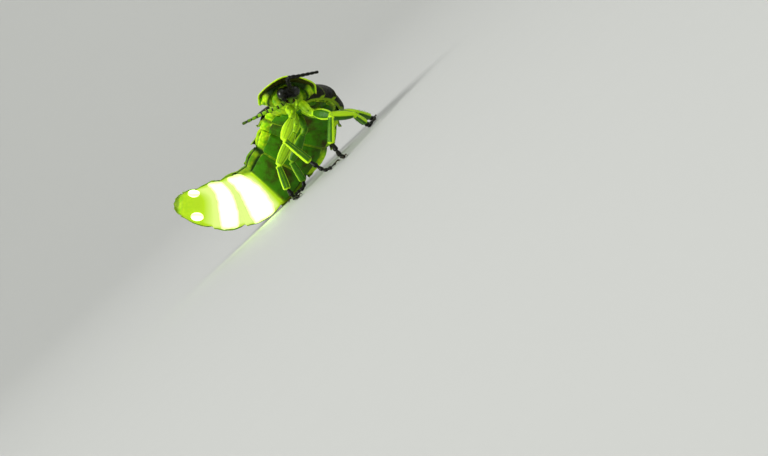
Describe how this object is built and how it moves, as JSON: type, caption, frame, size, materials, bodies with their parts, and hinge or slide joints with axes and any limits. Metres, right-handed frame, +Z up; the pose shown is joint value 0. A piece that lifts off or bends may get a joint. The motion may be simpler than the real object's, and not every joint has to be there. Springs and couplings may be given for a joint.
{
  "type": "firefly",
  "caption": "Wingless female firefly, a glow-worm, standing with its thorax reared up and its abdomen curled to one side, so that the glowing lantern plates under its tail face forwards.",
  "frame": {"origin": "on the floor, under the middle of the animal's bounding box", "axes": "+Z up; the head faces -Y, so the animal's own left is +X; the tail reaches out to -X"},
  "size_m": [0.0168, 0.0132, 0.0078],
  "materials": {
    "pronotum": "satin, waxy",
    "back_plate": "satin, finely pitted",
    "belly_skin": "satin",
    "lantern": "soft, glowing",
    "dark_shell": "satin",
    "leg_shell": "satin",
    "eye": "glossy"
  },
  "bodies": {
    "root": {"pronotum": "pronotum", "prothorax": "belly_skin", "mesothorax": "back_plate", "metathorax": "back_plate", "abdomen_1": "back_plate", "abdomen_2": "belly_skin", "abdomen_3": "belly_skin", "abdomen_4": "belly_skin", "abdomen_5": "belly_skin", "abdomen_6": "belly_skin", "abdomen_7": "belly_skin", "abdomen_8": "belly_skin", "tail_tip": "belly_skin", "lantern_band_6": "lantern", "lantern_band_7": "lantern", "lantern_spot_right": "lantern", "lantern_spot_left": "lantern", "head": "dark_shell", "eye_right": "eye", "antenna_right": "dark_shell", "palp_right": "leg_shell", "eye_left": "eye", "antenna_left": "dark_shell", "palp_left": "leg_shell", "coxa_front_right": "leg_shell", "femur_front_right": "leg_shell", "tibia_front_right": "leg_shell", "foot_front_right": "dark_shell", "coxa_front_left": "leg_shell", "femur_front_left": "leg_shell", "tibia_front_left": "leg_shell", "foot_front_left": "dark_shell", "coxa_mid_right": "leg_shell", "femur_mid_right": "leg_shell", "tibia_mid_right": "leg_shell", "foot_mid_right": "dark_shell", "coxa_mid_left": "leg_shell", "femur_mid_left": "leg_shell", "tibia_mid_left": "leg_shell", "foot_mid_left": "dark_shell", "coxa_hind_right": "leg_shell", "femur_hind_right": "leg_shell", "tibia_hind_right": "leg_shell", "foot_hind_right": "dark_shell", "coxa_hind_left": "leg_shell", "femur_hind_left": "leg_shell", "tibia_hind_left": "leg_shell", "foot_hind_left": "dark_shell"}
  },
  "joints": []
}
